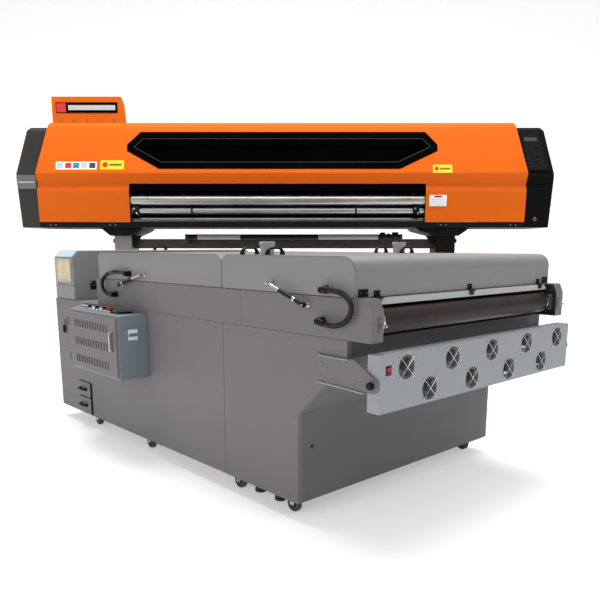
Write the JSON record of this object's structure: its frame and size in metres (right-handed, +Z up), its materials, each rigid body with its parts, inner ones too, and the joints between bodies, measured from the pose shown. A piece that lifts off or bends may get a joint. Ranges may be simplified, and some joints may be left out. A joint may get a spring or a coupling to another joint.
{
  "type": "wide-format UV printer with curing tunnel",
  "caption": "Wide-format UV printer on a stand, with a conveyor curing tunnel in front of it: hinged hoods, control box and a tilting fan panel.",
  "frame": {"origin": "centre of the whole footprint, on the floor", "axes": "+X along the printer to its control-panel end, +Y from the tunnel towards the back of the printer, +Z up"},
  "size_m": [4.79, 4.3462, 2.5316],
  "materials": {
    "grey_paint": "fine textured powder coat",
    "light_grey_paint": "fine textured powder coat",
    "orange_shell": "satin moulded shell",
    "dark_plastic": "fine grained",
    "dark_paint": "satin",
    "black_plastic": "satin",
    "black_steel": "satin",
    "steel": "ground and brushed",
    "aluminium": "extruded, natural anodised",
    "belt": "coated open mesh",
    "caster_rubber": "moulded",
    "zinc": "yellow zinc plate",
    "red_plastic": "glossy",
    "dark_glass": "smoked, nearly opaque"
  },
  "bodies": {
    "tunnel": {"left_front_panel": "grey_paint", "left_rear_panel": "grey_paint", "right_side_panel": "grey_paint", "front_panel": "grey_paint", "rear_panel": "grey_paint", "floor_pan": "grey_paint", "left_conveyor_rail": "grey_paint", "right_conveyor_rail": "grey_paint", "conveyor_bed": "steel", "conveyor_belt": "belt", "heater_bank": "steel", "outfeed_hinge_bar": "light_grey_paint", "infeed_base": "grey_paint", "control_box_case": "grey_paint", "left_fan_bracket": "grey_paint", "right_fan_bracket": "grey_paint", "outfeed_hose": "black_plastic", "infeed_hose": "black_plastic", "rear_caster_beam": "zinc"},
    "outfeed_hood": {"outfeed_hood": "light_grey_paint"},
    "infeed_hood": {"infeed_hood": "light_grey_paint"},
    "infeed_lid": {"infeed_lid": "grey_paint"},
    "outfeed_strut_cylinder": {"outfeed_strut_cylinder": "black_steel"},
    "outfeed_strut_rod": {"outfeed_strut_rod": "steel"},
    "infeed_strut_cylinder": {"infeed_strut_cylinder": "black_steel"},
    "infeed_strut_rod": {"infeed_strut_rod": "steel"},
    "outfeed_roller": {"outfeed_roller": "steel"},
    "infeed_roller": {"infeed_roller": "steel"},
    "control_box_door": {"control_box_door": "grey_paint"},
    "emergency_stop": {"emergency_stop": "red_plastic"},
    "cooling_panel": {"cooling_panel": "light_grey_paint"},
    "fan_switch": {"fan_switch": "red_plastic"},
    "front_left_caster": {"front_left_caster_fork": "zinc"},
    "front_right_caster": {"front_right_caster_fork": "zinc"},
    "printer": {"head_base": "dark_paint", "carriage_rail": "aluminium", "top_cover": "orange_shell", "left_end_cap": "dark_plastic", "right_end_cap": "dark_plastic", "left_stand_leg": "grey_paint", "right_stand_leg": "grey_paint", "stand_beam": "dark_paint"},
    "front_window": {"front_window": "dark_glass"},
    "carriage": {"carriage": "black_plastic"},
    "feed_roller": {"feed_roller": "steel"},
    "media_shaft": {"media_shaft": "steel"},
    "power_button": {"power_button": "red_plastic"},
    "fan_rotor_1": {"fan_rotor_1": "black_plastic"},
    "fan_rotor_2": {"fan_rotor_2": "black_plastic"},
    "fan_rotor_3": {"fan_rotor_3": "black_plastic"},
    "fan_rotor_4": {"fan_rotor_4": "black_plastic"},
    "fan_rotor_5": {"fan_rotor_5": "black_plastic"},
    "fan_rotor_6": {"fan_rotor_6": "black_plastic"},
    "fan_rotor_7": {"fan_rotor_7": "black_plastic"},
    "fan_rotor_8": {"fan_rotor_8": "black_plastic"},
    "fan_rotor_9": {"fan_rotor_9": "black_plastic"},
    "front_left_wheel": {"front_left_caster_wheel": "caster_rubber"},
    "front_right_wheel": {"front_right_caster_wheel": "caster_rubber"},
    "rear_left_wheel": {"rear_left_caster_wheel": "caster_rubber"},
    "rear_right_wheel": {"rear_right_caster_wheel": "caster_rubber"}
  },
  "joints": [
    {"name": "printer_swing", "type": "hinge", "parent": "tunnel", "child": "printer", "pos_m": [0, -0.56133, 0.05], "axis": [0, 0, 1], "range_deg": [0, 42.58]},
    {"name": "outfeed_hood_open", "type": "hinge", "parent": "tunnel", "child": "outfeed_hood", "pos_m": [0.91344, -1.55538, 1.022], "axis": [0.7363, 0.6766, 0], "range_deg": [0, 35], "deforming": ["outfeed_hose"]},
    {"name": "outfeed_strut_swing", "type": "hinge", "parent": "tunnel", "child": "outfeed_strut_cylinder", "pos_m": [0.14506, -1.90154, 0.984], "axis": [0.7363, 0.6766, 0], "range_deg": [0, 52.78]},
    {"name": "outfeed_strut_stroke", "type": "slide", "parent": "outfeed_strut_cylinder", "child": "outfeed_strut_rod", "axis": [-0.6391, 0.6955, 0.3285], "range_m": [0, 0.1318]},
    {"name": "infeed_hood_open", "type": "hinge", "parent": "tunnel", "child": "infeed_hood", "pos_m": [-0.56362, 0.05204, 1.022], "axis": [-0.7363, -0.6766, 0], "range_deg": [0, 35], "deforming": ["infeed_hose"]},
    {"name": "infeed_strut_swing", "type": "hinge", "parent": "tunnel", "child": "infeed_strut_cylinder", "pos_m": [-0.94091, -0.71973, 0.994], "axis": [-0.7363, -0.6766, 0], "range_deg": [0, 56.37]},
    {"name": "infeed_strut_stroke", "type": "slide", "parent": "infeed_strut_cylinder", "child": "infeed_strut_rod", "axis": [0.6563, -0.7142, 0.2434], "range_m": [0, 0.142]},
    {"name": "infeed_lid_open", "type": "hinge", "parent": "tunnel", "child": "infeed_lid", "pos_m": [-0.83224, 0.34436, 0.9565], "axis": [0.7363, 0.6766, 0], "range_deg": [0, 40]},
    {"name": "outfeed_roller_turn", "type": "hinge", "parent": "tunnel", "child": "outfeed_roller", "pos_m": [0.91682, -1.55906, 0.9285], "axis": [0.7363, 0.6766, 0], "continuous": true},
    {"name": "infeed_roller_turn", "type": "hinge", "parent": "tunnel", "child": "infeed_roller", "pos_m": [-0.52776, 0.01301, 0.9285], "axis": [0.7363, 0.6766, 0], "continuous": true},
    {"name": "control_box_door_open", "type": "hinge", "parent": "tunnel", "child": "control_box_door", "pos_m": [-1.29618, -0.58037, 0.66], "axis": [0, 0, -1], "range_deg": [0, 110]},
    {"name": "emergency_stop_press", "type": "slide", "parent": "tunnel", "child": "emergency_stop", "axis": [0, 0, -1], "range_m": [0, 0.005], "stiffness_N_per_m": 1500},
    {"name": "cooling_panel_tilt", "type": "hinge", "parent": "tunnel", "child": "cooling_panel", "pos_m": [0.97704, -1.62459, 0.699], "axis": [0.7363, 0.6766, 0], "range_deg": [-40, 25]},
    {"name": "fan_1_spin", "type": "hinge", "parent": "cooling_panel", "child": "fan_rotor_1", "pos_m": [0.547, -2.05371, 0.755], "axis": [-0.6766, 0.7363, 0], "continuous": true},
    {"name": "fan_2_spin", "type": "hinge", "parent": "cooling_panel", "child": "fan_rotor_2", "pos_m": [0.7771, -1.84227, 0.755], "axis": [-0.6766, 0.7363, 0], "continuous": true},
    {"name": "fan_3_spin", "type": "hinge", "parent": "cooling_panel", "child": "fan_rotor_3", "pos_m": [1.00721, -1.63082, 0.755], "axis": [-0.6766, 0.7363, 0], "continuous": true},
    {"name": "fan_4_spin", "type": "hinge", "parent": "cooling_panel", "child": "fan_rotor_4", "pos_m": [1.23731, -1.41938, 0.755], "axis": [-0.6766, 0.7363, 0], "continuous": true},
    {"name": "fan_5_spin", "type": "hinge", "parent": "cooling_panel", "child": "fan_rotor_5", "pos_m": [1.46742, -1.20794, 0.755], "axis": [-0.6766, 0.7363, 0], "continuous": true},
    {"name": "fan_6_spin", "type": "hinge", "parent": "cooling_panel", "child": "fan_rotor_6", "pos_m": [0.66205, -1.94799, 0.647], "axis": [-0.6766, 0.7363, 0], "continuous": true},
    {"name": "fan_7_spin", "type": "hinge", "parent": "cooling_panel", "child": "fan_rotor_7", "pos_m": [0.89216, -1.73654, 0.647], "axis": [-0.6766, 0.7363, 0], "continuous": true},
    {"name": "fan_8_spin", "type": "hinge", "parent": "cooling_panel", "child": "fan_rotor_8", "pos_m": [1.12226, -1.5251, 0.647], "axis": [-0.6766, 0.7363, 0], "continuous": true},
    {"name": "fan_9_spin", "type": "hinge", "parent": "cooling_panel", "child": "fan_rotor_9", "pos_m": [1.35236, -1.31366, 0.647], "axis": [-0.6766, 0.7363, 0], "continuous": true},
    {"name": "fan_switch_rock", "type": "hinge", "parent": "cooling_panel", "child": "fan_switch", "pos_m": [0.46736, -2.12961, 0.754], "axis": [0.7363, 0.6766, 0], "range_deg": [-9, 9]},
    {"name": "front_left_caster_swivel", "type": "hinge", "parent": "tunnel", "child": "front_left_caster", "pos_m": [0.12795, -1.72035, 0.145], "axis": [0, 0, 1], "continuous": true},
    {"name": "front_left_wheel_roll", "type": "hinge", "parent": "front_left_caster", "child": "front_left_wheel", "pos_m": [0.10765, -1.69826, 0.04], "axis": [0.7363, 0.6766, 0], "continuous": true},
    {"name": "rear_left_wheel_roll", "type": "hinge", "parent": "tunnel", "child": "rear_left_wheel", "pos_m": [-1.25912, -0.21086, 0.04], "axis": [0.7363, 0.6766, 0], "continuous": true},
    {"name": "front_right_caster_swivel", "type": "hinge", "parent": "tunnel", "child": "front_right_caster", "pos_m": [1.14409, -0.78661, 0.145], "axis": [0, 0, 1], "continuous": true},
    {"name": "front_right_wheel_roll", "type": "hinge", "parent": "front_right_caster", "child": "front_right_wheel", "pos_m": [1.12379, -0.76452, 0.04], "axis": [0.7363, 0.6766, 0], "continuous": true},
    {"name": "rear_right_wheel_roll", "type": "hinge", "parent": "tunnel", "child": "rear_right_wheel", "pos_m": [-0.24298, 0.72287, 0.04], "axis": [0.7363, 0.6766, 0], "continuous": true},
    {"name": "front_window_open", "type": "hinge", "parent": "printer", "child": "front_window", "pos_m": [-0.03, 1.50131, 2.215], "axis": [-1, 0, 0], "range_deg": [0, 70]},
    {"name": "carriage_travel", "type": "slide", "parent": "printer", "child": "carriage", "axis": [-1, 0, 0], "range_m": [0, 3.2]},
    {"name": "feed_roller_turn", "type": "hinge", "parent": "printer", "child": "feed_roller", "pos_m": [0, 1.46807, 1.621], "axis": [1, 0, 0], "continuous": true},
    {"name": "media_shaft_turn", "type": "hinge", "parent": "printer", "child": "media_shaft", "pos_m": [0, 1.58307, 1.3], "axis": [1, 0, 0], "continuous": true},
    {"name": "power_button_press", "type": "slide", "parent": "printer", "child": "power_button", "axis": [0, 1, 0], "range_m": [0, 0.003], "stiffness_N_per_m": 600}
  ],
  "couplings": [
    {"joint": "outfeed_strut_swing", "follows": "outfeed_hood_open", "ratio": 1.5066},
    {"joint": "outfeed_strut_stroke", "follows": "outfeed_hood_open", "m_per_rad": 0.215},
    {"joint": "infeed_strut_swing", "follows": "infeed_hood_open", "ratio": 1.6092},
    {"joint": "infeed_strut_stroke", "follows": "infeed_hood_open", "m_per_rad": 0.23159},
    {"joint": "infeed_roller_turn", "follows": "outfeed_roller_turn", "ratio": 1}
  ]
}
